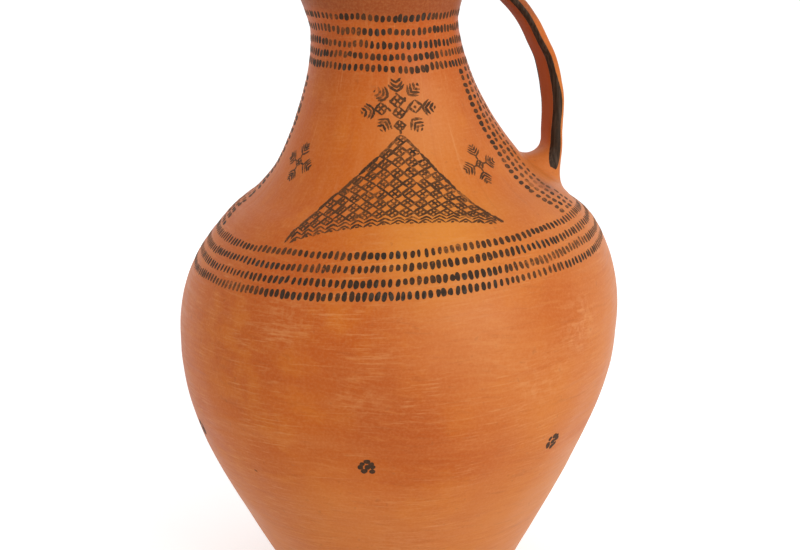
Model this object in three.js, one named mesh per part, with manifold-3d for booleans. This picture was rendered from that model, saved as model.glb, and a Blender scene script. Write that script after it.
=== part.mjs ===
// A hand-built water jar of fired clay with one strap handle.
// Millimetres, +Z up. The jar stands on z = 0 and its belly is centred on the Z axis.
// It is made as the potter makes it: a base disc, courses of wall joined on sloping edges,
// a rim coil, and a strap handle joined to the wall by a lump of clay at each end.

import * as THREE from 'three';
import { mergeVertices } from 'three/addons/utils/BufferGeometryUtils.js';
import Module from 'manifold-3d';

const wasm = await Module();
wasm.setup();

// Outline of the outside: radii, and the height of each stretch above the one below
const baseRadius = 71;
const bellyRadius = 150.8;
const bellyHeight = 201.5;
const shoulderRadius = 103.7;
const shoulderRise = 88.2;
const waistRadius = 48.7;
const neckRise = 109.7;
const mouthRadius = 67;
const mouthRise = 46.6;

// Directions of the outline in degrees from upright
const baseFlare = 28.6;
const shoulderSlope = 60.7;
const mouthFlare = 32;

// How far each end of a stretch keeps its direction, as a share of the stretch's height
const lowerHold = [0.734, 0.237];
const shoulderHold = [0.665, 0.024];
const neckHold = [0.316, 0.272];
const mouthHold = [0.13, 0.34];

// Thickness of the clay
const wallThickness = 8.5;
const baseThickness = 12;
const rimThickness = 11;
const heelRounding = 5;

// Courses of clay from the rim down, each as its height on the outside.
// The lower wall takes what is left above the base disc's edge.
const rimCoilHeight = 10;
const flareHeight = 44;
const neckCourseHeight = 87;
const shoulderCourseHeight = 93;
const bellyCourseHeight = 100;
const baseEdgeHeight = 14;

// Each joint climbs this far towards the inside, and a film of slip fills its gap
const scarfRise = 8;
const slipGap = 0.3;

// Coil pressed into the corner between base and wall
const luteCoilHeight = 20;
const luteCoilReach = 13;
const luteCoilHollow = 0.35;

// Handle in an upright plane, turned about the Z axis by this many degrees
const handleAngle = 14;
const strapWidth = 27;
const strapThickness = 9.8;
const footDrop = 5.7;
const headDrop = 12;
const footLuteLength = 22;
const headLuteLength = 17;
const footSink = 22;
const headSink = 8;

// Route of the strap from foot to head, in shares of the height between them: how far up,
// and how far out from the foot's own radius
const strapRoute = [
  [0.191, 0.003],
  [0.397, 0.024],
  [0.592, 0.009],
  [0.688, -0.031],
  [0.782, -0.077],
  [0.877, -0.148],
  [0.954, -0.24],
];

// How the foot swells, in shares of its lute's length: distance above the foot's seat, then
// what it gains towards the neck, away from it, and on each side
const footSwell = [
  [-1, 0.91, 0.59, 0.73],
  [-0.64, 0.91, 0.43, 0.64],
  [-0.36, 0.91, 0.22, 0.5],
  [-0.09, 0.91, 0.14, 0.41],
  [0.45, 0.86, 0.11, 0.23],
  [0.68, 0.5, 0.08, 0.15],
  [0.82, 0.18, 0.06, 0.11],
  [1, 0, 0.03, 0.05],
  [1.36, 0, 0, 0],
];

// How the head swells, in shares of its lute's length: distance out from its seat, then what
// it gains above, below and on each side
const headSwell = [
  [-0.47, 0.41, 0.41, 0.41],
  [0, 0.26, 0.29, 0.29],
  [0.47, 0.09, 0.11, 0.12],
  [1, 0, 0, 0],
];

// The jar isn't true: its neck leans to one side and the rings of its courses tilt.
// Both start from nothing at the base, so that it stands flat.
const baseShift = -1.7;
const baseShiftEnd = 230;
const neckShift = -10.7;
const neckShiftMargin = 23;
const courseTilt = 3.3;
const courseTiltEnd = 130;
const shoulderTilt = 0.6;

// Fineness of the faceted surface
const facesAround = 48;
const rowHeight = 13;
const strapSteps = 20;
const strapSides = 16;
const heelSteps = 3;
const lipSteps = 6;

const clayFinish = { color: 0xb8622f, roughness: 0.6, metalness: 0 };
const rawClayFinish = { color: 0xa5572d, roughness: 0.75, metalness: 0 };

const shoulderHeight = bellyHeight + shoulderRise;
const waistHeight = shoulderHeight + neckRise;
const lipHeight = waistHeight + mouthRise;

const flareTop = lipHeight - rimCoilHeight;
const neckTop = flareTop - flareHeight;
const shoulderTop = neckTop - neckCourseHeight;
const bellyTop = shoulderTop - shoulderCourseHeight;
const lowerTop = bellyTop - bellyCourseHeight;

// Measured along the outside, this leaves slipGap square to the sloping joint
const jointGap = slipGap * Math.hypot(wallThickness, scarfRise) / wallThickness;

function radians(degrees) {
  return degrees * Math.PI / 180;
}

// Rises smoothly from 0 to 1 between two values
function ease(from, to, value) {
  const t = Math.min(Math.max((value - from) / (to - from), 0), 1);
  return t * t * (3 - 2 * t);
}

// One stretch of the outline, in radius and height, between two points with directions
function stretch(start, end, hold) {
  const height = end.height - start.height;
  const p0 = new THREE.Vector2(start.radius, start.height);
  const p3 = new THREE.Vector2(end.radius, end.height);
  const leave = new THREE.Vector2(Math.sin(start.angle), Math.cos(start.angle));
  const arrive = new THREE.Vector2(Math.sin(end.angle), Math.cos(end.angle));
  const p1 = p0.clone().addScaledVector(leave, hold[0] * height);
  const p2 = p3.clone().addScaledVector(arrive, -hold[1] * height);
  return new THREE.CubicBezierCurve(p0, p1, p2, p3);
}

const baseEnd = { radius: baseRadius, height: 0, angle: radians(baseFlare) };
const bellyEnd = { radius: bellyRadius, height: bellyHeight, angle: 0 };
const shoulderEnd = { radius: shoulderRadius, height: shoulderHeight, angle: radians(-shoulderSlope) };
const waistEnd = { radius: waistRadius, height: waistHeight, angle: 0 };
const lipEnd = { radius: mouthRadius, height: lipHeight, angle: radians(mouthFlare) };

const outline = [
  stretch(baseEnd, bellyEnd, lowerHold),
  stretch(bellyEnd, shoulderEnd, shoulderHold),
  stretch(shoulderEnd, waistEnd, neckHold),
  stretch(waistEnd, lipEnd, mouthHold),
];

// The outline rises all the way, so each height has one point on it, found by halving.
// The point is moved into the wall by a depth measured square to the outside.
function wallPoint(height, depth = 0) {
  const curve = outline.find((part) => height <= part.v3.y) ?? outline.at(-1);
  let low = 0;
  let high = 1;
  for (let i = 0; i < 40; i++) {
    const middle = (low + high) / 2;
    if (curve.getPoint(middle).y < height) low = middle;
    else high = middle;
  }
  const along = curve.getTangent(low);
  return curve.getPoint(low).addScaledVector(new THREE.Vector2(-along.y, along.x), depth);
}

// Heights in equal rows from one to another
function rows(from, to) {
  const count = Math.max(1, Math.round((to - from) / rowHeight));
  return Array.from({ length: count + 1 }, (_, i) => from + (to - from) * i / count);
}

function volume(geometry) {
  const position = geometry.attributes.position;
  const index = geometry.index.array;
  const corners = [new THREE.Vector3(), new THREE.Vector3(), new THREE.Vector3()];
  let sum = 0;
  for (let i = 0; i < index.length; i += 3) {
    corners.forEach((corner, k) => corner.fromBufferAttribute(position, index[i + k]));
    sum += corners[0].dot(corners[1].cross(corners[2])) / 6;
  }
  return sum;
}

// Keeps only positions, merges shared vertices, drops empty faces and turns faces outward
function closed(geometry) {
  geometry.deleteAttribute('normal');
  geometry.deleteAttribute('uv');
  const merged = mergeVertices(geometry, 1e-4);
  const index = merged.index.array;
  const faces = [];
  for (let i = 0; i < index.length; i += 3) {
    const [a, b, c] = index.slice(i, i + 3);
    if (a !== b && b !== c && c !== a) faces.push([a, b, c]);
  }
  merged.setIndex(faces.flat());
  if (volume(merged) < 0) merged.setIndex(faces.map(([a, b, c]) => [a, c, b]).flat());
  return merged;
}

// A ring or disc turned about the Z axis from a profile in radius and height
function turned(profile) {
  const geometry = new THREE.LatheGeometry([...profile, profile[0]], facesAround);
  geometry.rotateX(Math.PI / 2);
  return closed(geometry);
}

// One course of wall. It starts a joint's gap above the course below.
function course(from, to) {
  const start = from + jointGap;
  const outside = rows(start, to).map((height) => wallPoint(height));
  const inside = rows(start + scarfRise, to + scarfRise).map((height) => wallPoint(height, wallThickness));
  return turned([...outside, ...inside.reverse()]);
}

// The point where the inside of the wall, carried on down, meets the floor of the jar
function floorCorner() {
  const lean = Math.sin(radians(baseFlare));
  const inside = wallPoint(baseThickness - wallThickness * lean, wallThickness);
  return new THREE.Vector2(inside.x, baseThickness);
}

function baseDisc() {
  const flatEdge = new THREE.Vector2(baseRadius - heelRounding, 0);
  const heel = new THREE.QuadraticBezierCurve(flatEdge, wallPoint(0), wallPoint(heelRounding));
  const centre = new THREE.Vector2(0, 0);
  const floorCentre = new THREE.Vector2(0, baseThickness);
  const edge = [wallPoint(baseEdgeHeight), wallPoint(baseEdgeHeight + scarfRise, wallThickness)];
  return turned([centre, ...heel.getPoints(heelSteps), ...edge, floorCorner(), floorCentre]);
}

// The coil lies in the corner, clear of floor and wall by slipGap, with a hollowed face
function baseLuteCoil() {
  const depth = wallThickness + slipGap;
  const top = wallPoint(baseThickness + luteCoilHeight, depth);
  const middle = wallPoint(baseEdgeHeight + scarfRise, depth);
  const corner = floorCorner();
  const heel = new THREE.Vector2(corner.x - 2 * slipGap, baseThickness + slipGap);
  const toe = new THREE.Vector2(corner.x - luteCoilReach, heel.y);
  const pull = top.clone().lerp(toe, 0.5).lerp(heel, luteCoilHollow);
  const face = new THREE.QuadraticBezierCurve(top, pull, toe).getPoints(4);
  return turned([heel, middle, ...face]);
}

// The rim coil thickens to the lip and is rounded over its top
function rimCoil() {
  const start = flareTop + jointGap;
  const outside = rows(start, lipHeight).map((height) => wallPoint(height));
  const radius = rimThickness / 2;
  const centre = wallPoint(lipHeight, radius);
  const lip = [];
  for (let i = 1; i <= lipSteps; i++) {
    const angle = Math.PI * i / lipSteps - radians(mouthFlare);
    lip.push(new THREE.Vector2(centre.x + radius * Math.cos(angle), centre.y + radius * Math.sin(angle)));
  }
  return turned([...outside, ...lip, wallPoint(start + scarfRise, wallThickness)]);
}

// The outside of the jar as one solid about the axis, grown by slipGap. It has the same
// rows as the courses, so that a piece cut by it lies along their faces.
function wallEnvelope() {
  const heights = [rows(bellyTop + jointGap, shoulderTop), rows(shoulderTop + jointGap, neckTop),
    rows(neckTop + jointGap, flareTop), rows(flareTop + jointGap, lipHeight)].flat();
  const grown = heights.map((height) => wallPoint(height, -slipGap));
  return turned([new THREE.Vector2(0, grown[0].y), ...grown, new THREE.Vector2(0, grown.at(-1).y)]);
}

// Value of one column of a table at a distance given in its first column
function lookUp(table, column, distance) {
  const after = table.findIndex((row) => row[0] >= distance);
  if (after === 0) return table[0][column];
  if (after < 0) return table.at(-1)[column];
  const [low, high] = [table[after - 1], table[after]];
  return THREE.MathUtils.lerp(low[column], high[column], (distance - low[0]) / (high[0] - low[0]));
}

// Middle line of the handle in radius and height, from inside the shoulder to inside the neck
const footHeight = shoulderHeight - footDrop;
const headHeight = flareTop - headDrop;
const footSeat = wallPoint(footHeight);
const headSeat = wallPoint(headHeight);
const handleRise = headHeight - footHeight;
const strapPoints = strapRoute.map(([up, out]) => {
  return new THREE.Vector3(footSeat.x + out * handleRise, footHeight + up * handleRise, 0);
});
const handleLine = new THREE.CatmullRomCurve3([
  new THREE.Vector3(footSeat.x, footSeat.y - footSink, 0),
  new THREE.Vector3(footSeat.x, footSeat.y, 0),
  ...strapPoints,
  new THREE.Vector3(headSeat.x, headSeat.y, 0),
  new THREE.Vector3(headSeat.x - headSink, headSeat.y + headSink / 4, 0),
], false, 'centripetal');
const handleLength = handleLine.getLength();

// A rounded strap section at a distance along the handle: its corners in radius, side, height
function strapSection(distance) {
  const at = distance / handleLength;
  const centre = handleLine.getPointAt(at);
  const along = handleLine.getTangentAt(at);
  const inward = new THREE.Vector2(-along.y, along.x);
  const fromFoot = (distance - footSink) / footLuteLength;
  const fromHead = (handleLength - headSink - distance) / headLuteLength;
  const swell = [1, 2, 3].map((column) => {
    const gain = lookUp(footSwell, column, fromFoot) * footLuteLength;
    return gain + lookUp(headSwell, column, fromHead) * headLuteLength;
  });
  const points = [];
  for (let i = 0; i < strapSides; i++) {
    const angle = 2 * Math.PI * i / strapSides;
    const across = Math.sign(Math.cos(angle)) * Math.abs(Math.cos(angle)) ** 0.6;
    const through = Math.sign(Math.sin(angle)) * Math.abs(Math.sin(angle)) ** 0.8;
    const half = strapThickness / 2 + (through > 0 ? swell[0] : swell[1]);
    const side = across * (strapWidth / 2 + swell[2]);
    points.push(new THREE.Vector3(
      centre.x + inward.x * through * half,
      side,
      centre.y + inward.y * through * half,
    ));
  }
  return points;
}

// A closed solid through strap sections between two distances along the handle
function strapSolid(from, to, steps) {
  const distances = Array.from({ length: steps + 1 }, (_, i) => from + (to - from) * i / steps);
  const sections = distances.map(strapSection);
  const middles = [sections[0], sections.at(-1)].map((section) => {
    return section.reduce((sum, p) => sum.add(p), new THREE.Vector3()).divideScalar(strapSides);
  });
  const positions = [...sections.flat(), ...middles].flatMap((p) => p.toArray());
  const firstMiddle = sections.length * strapSides;
  const faces = [];
  for (let k = 0; k < strapSides; k++) {
    const next = (k + 1) % strapSides;
    for (let i = 0; i < steps; i++) {
      const [a, b] = [i * strapSides + k, i * strapSides + next];
      faces.push(a, b, b + strapSides, a, b + strapSides, a + strapSides);
    }
    const last = steps * strapSides;
    faces.push(firstMiddle, next, k, firstMiddle + 1, last + k, last + next);
  }
  const geometry = new THREE.BufferGeometry();
  geometry.setAttribute('position', new THREE.Float32BufferAttribute(positions, 3));
  geometry.setIndex(faces);
  geometry.rotateZ(radians(handleAngle));
  return closed(geometry);
}

function toManifold(geometry) {
  return new wasm.Manifold(new wasm.Mesh({
    numProp: 3,
    vertProperties: new Float32Array(geometry.attributes.position.array),
    triVerts: new Uint32Array(geometry.index.array),
  }));
}

function fromManifold(solid) {
  const mesh = solid.getMesh();
  const geometry = new THREE.BufferGeometry();
  geometry.setAttribute('position', new THREE.BufferAttribute(mesh.vertProperties, 3));
  geometry.setIndex(new THREE.BufferAttribute(mesh.triVerts, 1));
  return geometry;
}

// What is left of a piece outside the wall
function seatedOnWall(geometry) {
  return fromManifold(toManifold(geometry).subtract(toManifold(wallEnvelope())));
}

// The jar's lean and the tilt of its courses, for every piece alike
function leaned(geometry) {
  const position = geometry.attributes.position;
  for (let i = 0; i < position.count; i++) {
    const [x, z] = [position.getX(i), position.getZ(i)];
    const low = baseShift * (1 - ease(0, baseShiftEnd, z));
    const high = neckShift * ease(shoulderHeight - neckShiftMargin, waistHeight + neckShiftMargin, z);
    const bulge = ease(bellyHeight, shoulderHeight, z) - ease(shoulderHeight, waistHeight, z);
    const tilt = courseTilt * ease(0, courseTiltEnd, z) + shoulderTilt * bulge;
    position.setX(i, x + low + high);
    position.setZ(i, z + x * Math.tan(radians(tilt)));
  }
  return geometry;
}

const footLuteEnd = footSink + footLuteLength;
const headLuteStart = handleLength - headSink - headLuteLength;
const luteSteps = 8;

const pieces = [
  ['base_disc', baseDisc(), rawClayFinish],
  ['base_lute_coil', baseLuteCoil(), rawClayFinish],
  ['lower_wall', course(baseEdgeHeight, lowerTop), clayFinish],
  ['belly_wall', course(lowerTop, bellyTop), clayFinish],
  ['shoulder_wall', course(bellyTop, shoulderTop), clayFinish],
  ['neck_wall', course(shoulderTop, neckTop), clayFinish],
  ['mouth_flare', course(neckTop, flareTop), clayFinish],
  ['rim_coil', rimCoil(), clayFinish],
  ['handle_foot_lute', seatedOnWall(strapSolid(0, footLuteEnd, luteSteps)), clayFinish],
  ['handle_strap', strapSolid(footLuteEnd + slipGap, headLuteStart - slipGap, strapSteps), clayFinish],
  ['handle_head_lute', seatedOnWall(strapSolid(headLuteStart, handleLength, luteSteps)), clayFinish],
];

const jar = new THREE.Group();
for (const [name, geometry, finish] of pieces) {
  const mesh = new THREE.Mesh(leaned(geometry), new THREE.MeshStandardMaterial(finish));
  mesh.name = name;
  jar.add(mesh);
}

export default jar;
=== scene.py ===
import bpy
import numpy as np
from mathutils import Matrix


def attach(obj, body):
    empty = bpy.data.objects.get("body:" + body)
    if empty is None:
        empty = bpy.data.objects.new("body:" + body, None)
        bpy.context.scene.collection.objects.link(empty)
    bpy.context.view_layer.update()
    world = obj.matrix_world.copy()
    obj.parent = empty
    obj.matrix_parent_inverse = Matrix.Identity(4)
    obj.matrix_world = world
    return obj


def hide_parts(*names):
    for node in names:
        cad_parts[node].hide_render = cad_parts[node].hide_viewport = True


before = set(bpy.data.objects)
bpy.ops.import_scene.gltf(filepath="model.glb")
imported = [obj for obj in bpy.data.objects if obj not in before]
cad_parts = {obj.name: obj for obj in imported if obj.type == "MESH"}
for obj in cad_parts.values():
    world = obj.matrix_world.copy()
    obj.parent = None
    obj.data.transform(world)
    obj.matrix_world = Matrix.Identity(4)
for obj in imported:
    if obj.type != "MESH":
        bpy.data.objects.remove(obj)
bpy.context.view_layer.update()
scene = bpy.context.scene
print("frame loaded with", len(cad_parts), "nodes")

# Lengths are metres, and angles degrees unless a comment says otherwise.
# Angles round the jar start at the painted front (-Y) and grow towards +X.

# The camera stands a little above the shoulder and looks down at the belly
viewpoint = {
    "lens": 63.0, "sensor": 36.0,
    "place": (0.0011, -0.9348, 0.4830),
    "lookDown": 15.3,
}


# An unturned camera looks straight down, so it is turned up to its angle below level
def makeCamera():
    data = bpy.data.cameras.new("camera")
    data.lens = viewpoint["lens"]
    data.sensor_width = viewpoint["sensor"]
    camera = bpy.data.objects.new("camera", data)
    camera.location = viewpoint["place"]
    camera.rotation_euler = (np.radians(90 - viewpoint["lookDown"]), 0, 0)
    scene.collection.objects.link(camera)
    scene.camera = camera


makeCamera()
scene.view_settings.view_transform = "Standard"


# Rises smoothly from 0 to 1 between two values: t squared times (3 - 2 t)
def ease(low, high, value):
    t = np.clip((value - low) / (high - low), 0, 1)
    return t * t * (3 - 2 * t)


# Rises from 0 to 1 over one stretch of values and falls back over another
def plateau(rising, falling, value):
    return ease(*rising, value) - ease(*falling, value)


# Vectors over their own lengths
def unit(vectors):
    return vectors / np.maximum(np.linalg.norm(vectors, axis=-1), 1e-12)[..., None]


# Distances run along a line of points
def runAlong(line):
    return np.concatenate([[0], np.cumsum(np.linalg.norm(np.diff(line, axis=0), axis=1))])


# An angle as the nearest way round, from -180 to 180
def nearestTurn(angle):
    return (angle + 180) % 360 - 180


# A cosine or sine raised to a power with its sign kept: two of them draw a superellipse
def squared(wave, power):
    return np.sign(wave) * np.abs(wave) ** power


# A Bezier curve at shares t: neighbouring points are drawn together until one is left
def bezier(t, *points):
    points = [np.asarray(point, float) for point in points]
    while len(points) > 1:
        points = [(1 - t) * a + t * b for a, b in zip(points[:-1], points[1:])]
    return points[0]


# A Hermite curve at shares t: two ends, and the pull along the direction at each
def hermite(t, first, leave, last, arrive):
    return ((2 * t ** 3 - 3 * t * t + 1) * first + (t ** 3 - 2 * t * t + t) * leave
            + (3 * t * t - 2 * t ** 3) * last + (t ** 3 - t * t) * arrive)


# The wall's outline from the base up: radius, height and direction from upright at each
# meeting point, then how long each stretch keeps its directions, as a share of its height
outline = {
    "points": ((0.071, 0.0, 28.6), (0.1508, 0.2015, 0), (0.1037, 0.2897, -60.7),
               (0.0490, 0.3994, 0), (0.067, 0.446, 32.0)),
    "holds": ((0.734, 0.237), (0.665, 0.024), (0.316, 0.272), (0.13, 0.34)),
    "heel": 0.005, "thickness": 0.0085,
    "lipRadius": 0.0055, "lipSwellFrom": 0.428,
    "floor": 0.012, "cornerRadius": 0.010, "cornerReach": (0.5, 1.5),
    "curveRows": 240, "flatRows": 40, "bendRows": 16,
}

# The neck leans and the rings of the courses tilt, as in the solids
lean = {
    "baseShift": -0.0017, "baseShiftEnd": 0.230,
    "neckShift": -0.0100, "neckShiftOver": (0.2667, 0.4224),
    "courseTilt": 3.3, "courseTiltEnd": 0.130, "shoulderTilt": 0.6,
    "seamTilt": -0.75, "seamFrom": (0.272, 0.287), "seamTo": (0.299, 0.314),
}

# Hand-made unevenness: waves of random directions and phases, ridges of the coils inside, and a
# hollow that the foot of the handle left when it was pressed on
unevenness = {
    "seed": 11,
    "broad": {"waves": 18, "length": (0.05, 0.14), "depth": 0.00034},
    "fine": {"waves": 26, "length": (0.014, 0.035), "depth": 0.00006},
    "coils": {"pitch": 0.0115, "depth": 0.00035, "sway": 0.8, "swayRise": 40},
    "press": {"angle": 97.0, "wide": 14.0, "height": 0.2745, "high": 0.0075, "depth": 0.0026},
}


# The wall's outside as cubic Bezier curves in radius and height. Their inner points lie along
# the directions at their ends, at a share of the stretch's height.
def wallCurve():
    t = np.linspace(0, 1, outline["curveRows"])[:, None]
    parts = []
    for start, end, hold in zip(outline["points"][:-1], outline["points"][1:], outline["holds"]):
        rise = end[1] - start[1]
        leave, arrive = (np.array([np.sin(a), np.cos(a)]) for a in np.radians([start[2], end[2]]))
        first, last = np.array(start[:2]), np.array(end[:2])
        curve = bezier(t, first, first + hold[0] * rise * leave, last - hold[1] * rise * arrive, last)
        parts.append(curve[1:] if parts else curve)
    return np.concatenate(parts)


# Unit normals of a profile, to its right as it runs: the tangent turned by a quarter
def profileNormals(profile):
    along = unit(np.gradient(profile, axis=0))
    return np.stack([along[:, 1], -along[:, 0]], axis=1)


# The whole section of the jar as one line: from the middle of its underside, round the heel,
# up the outside, over the lip, down the inside and along the floor to the middle. Its columns
# are radius, height, outward direction (two), and from 0 to 1 how lumpy and how far inside.
def jarSection():
    curve = wallCurve()
    normal = profileNormals(curve)
    flat = np.linspace(0, 1, outline["flatRows"])
    bend = np.linspace(0, 1, outline["bendRows"])[:, None]
    lip, floorHeight = outline["lipRadius"], outline["floor"]
    flatEdge = outline["points"][0][0] - outline["heel"]
    underside = np.stack([flatEdge * flat, 0 * flat], axis=1)
    start = np.searchsorted(curve[:, 1], outline["heel"])
    corner = bezier(bend[1:-1], (flatEdge, 0), curve[0], curve[start])
    turn = np.arctan2(normal[-1, 1], normal[-1, 0]) + np.pi * flat[1:-1]
    rounded = curve[-1] - lip * normal[-1] + lip * np.stack([np.cos(turn), np.sin(turn)], axis=1)
    swell = ease(outline["lipSwellFrom"], curve[-1, 1], curve[:, 1])
    depth = outline["thickness"] + (2 * lip - outline["thickness"]) * swell
    inside = (curve - depth[:, None] * normal)[::-1]
    inside = inside[inside[:, 1] > floorHeight + outline["cornerRadius"]]
    middle, end = ((inside[-1, 0] - outline["cornerRadius"] * reach, floorHeight)
                   for reach in outline["cornerReach"])
    floor = np.stack([end[0] * (1 - flat[1:]), floorHeight + 0 * flat[1:]], axis=1)
    within = np.concatenate([inside, bezier(bend[1:], inside[-1], middle, end), floor])
    stretches = ((underside, (0, 0), (0, 0)), (corner, (0, 0.3), (0, 0)), (curve[start:], (1, 1), (0, 0)),
                 (rounded, (1, 1), (0, 0.5)), (within, (1, 1), (1, 1)))
    line = np.concatenate([stretch[0] for stretch in stretches])
    lumpy, inner = (np.concatenate([np.linspace(*stretch[i], len(stretch[0])) for stretch in stretches])
                    for i in (1, 2))
    return np.column_stack([line, profileNormals(line), lumpy, inner])


section = jarSection()
sectionRun = runAlong(section[:, :2])
lipIndex = int(np.argmax(section[:, 1]))


# The section's columns at places along its line
def sectionAt(along):
    return np.array([np.interp(along, sectionRun, column) for column in section.T])


# The first of them, the radius
def radiusAt(along):
    return sectionAt(along)[0]


# Place along the section line of a height on the outside, and of one on the inside
def outsideAt(height):
    outside = slice(outline["flatRows"], lipIndex)
    return np.interp(height, section[outside, 1], sectionRun[outside])


def insideAt(height):
    inside = slice(lipIndex, -outline["flatRows"])
    return np.interp(-height, -section[inside, 1], sectionRun[inside])


# Sines of random waves, a fixed set for each kind of unevenness
def makeWaves(kind, rng):
    count = kind["waves"]
    direction = unit(rng.normal(size=(count, 3)))
    length = rng.uniform(*kind["length"], size=count)
    return 2 * np.pi * direction / length[:, None], rng.uniform(0, 2 * np.pi, count), kind["depth"]


waveSeed = np.random.default_rng(unevenness["seed"])
waveSets = [makeWaves(unevenness[kind], waveSeed) for kind in ("broad", "fine")]


# How far the surface stands out at points: each wave set's sines, summed and scaled by its depth
def lumps(points):
    out = np.zeros(points.shape[:-1])
    for frequency, phase, depth in waveSets:
        out += depth * np.sin(points @ frequency.T + phase).sum(axis=-1) / np.sqrt(len(phase) / 2)
    return out


# Points at a radius and a height, turned about the axis by an angle in radians
def turned(radius, angle, height):
    parts = np.broadcast_arrays(radius * np.sin(angle), -radius * np.cos(angle), height)
    return np.stack(parts, axis=-1)


# The jar's lean: x shifts with the height, and z rises with x by the tilt of that height
def leaned(points):
    x, y, z = np.moveaxis(points, -1, 0)
    belly, shoulder, waist = (outline["points"][i][1] for i in (1, 2, 3))
    low = lean["baseShift"] * (1 - ease(0, lean["baseShiftEnd"], z))
    high = lean["neckShift"] * ease(*lean["neckShiftOver"], z)
    tilt = (lean["courseTilt"] * ease(0, lean["courseTiltEnd"], z)
            + lean["shoulderTilt"] * plateau((belly, shoulder), (shoulder, waist), z)
            + lean["seamTilt"] * plateau(lean["seamFrom"], lean["seamTo"], z))
    return np.stack([x + low + high, y, z + x * np.tan(np.radians(tilt))], axis=-1)


# The hollow under the handle's foot: its depth falls off with the squares of the distances
# round and up
def pressed(angle, height):
    press = unevenness["press"]
    away = nearestTurn(angle - press["angle"]) / press["wide"]
    return press["depth"] * np.exp(-away ** 2 - ((height - press["height"]) / press["high"]) ** 2)


# A point of the jar's skin by its angle and its place along the section line, lifted off it:
# turned about the axis, pushed out by the lumps, and leaned
def skin(angle, along, lift=0.0):
    angle, along = np.broadcast_arrays(np.radians(angle), along)
    radius, height, outR, outZ, lumpy, inner = sectionAt(along)
    coils = unevenness["coils"]
    sway = coils["sway"] * np.sin(2 * angle + coils["swayRise"] * height)
    ridges = inner * coils["depth"] * np.sin(2 * np.pi * height / coils["pitch"] + sway)
    out = lift + lumpy * (lumps(turned(radius, angle, height)) + ridges)
    out = out - (1 - inner) * pressed(np.degrees(angle), height)
    return leaned(turned(radius + outR * out, angle, height + outZ * out))


# Its outward normal: the change with the angle crossed with the change along the line
def skinNormal(angle, along):
    stepAngle, stepAlong = 0.15, 0.0003
    across = skin(angle + stepAngle, along) - skin(angle - stepAngle, along)
    up = skin(angle, along + stepAlong) - skin(angle, along - stepAlong)
    return unit(np.cross(across, up))


# A smooth object from points and faces, with its own normals and numbers at its points
def addMesh(name, points, faces, normals=None, attributes=None):
    mesh = bpy.data.meshes.new(name)
    mesh.from_pydata(points.tolist(), [], faces)
    mesh.update()
    mesh.polygons.foreach_set("use_smooth", np.ones(len(mesh.polygons), bool))
    for key, values in (attributes or {}).items():
        layer = mesh.attributes.new(key, "FLOAT", "POINT")
        layer.data.foreach_set("value", np.asarray(values, np.float32))
    if normals is not None:
        mesh.normals_split_custom_set_from_vertices(normals.tolist())
    piece = bpy.data.objects.new(name, mesh)
    scene.collection.objects.link(piece)
    return piece


# Faces of a grid of rows x columns that closes round its columns. Its rows close as well,
# or else each end has a fan of triangles to an added middle point.
def gridFaces(rows, columns, ringClosed):
    index = np.arange(rows * columns).reshape(rows, columns)
    following = np.roll(index, -1, axis=0) if ringClosed else index[1:]
    index = index if ringClosed else index[:-1]
    quads = np.stack([index, np.roll(index, -1, 1), np.roll(following, -1, 1), following], axis=-1)
    faces = quads.reshape(-1, 4).tolist()
    if not ringClosed:
        first, last = np.arange(columns), np.arange(columns) + (rows - 1) * columns
        middle = rows * columns
        faces += np.stack([np.full(columns, middle), np.roll(first, -1), first], axis=1).tolist()
        faces += np.stack([np.full(columns, middle + 1), last, np.roll(last, -1)], axis=1).tolist()
    return faces


# Every piece rides on the one body; its slot is not used. A clay piece stands for its solid.
def finishPiece(piece, material, slot, *nodes):
    piece.data.materials.append(material)
    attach(piece, "root")
    if nodes:
        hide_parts(*nodes)


# A piece of the pot from a grid of points and the share of inside at each. An open grid has
# the mean of each end row as the middle of its fan.
def gridPiece(node, grid, normals, inner, slotName, ringClosed, endNormals=((0, 0, 0), (0, 0, 0))):
    rows, columns = grid.shape[:2]
    points, inner = grid.reshape(-1, 3), np.broadcast_to(inner, (rows, columns)).ravel()
    if normals is not None:
        normals = normals.reshape(-1, 3)
    if not ringClosed:
        points = np.concatenate([points, grid[[0, -1]].mean(axis=1)])
        normals = np.concatenate([normals, endNormals])
        inner = np.append(inner, [1, 1])
    faces = gridFaces(rows, columns, ringClosed)
    piece = addMesh(node + "_clay", points, faces, normals, {"inner": inner})
    finishPiece(piece, burnishedClay, slotName, node)


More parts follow.
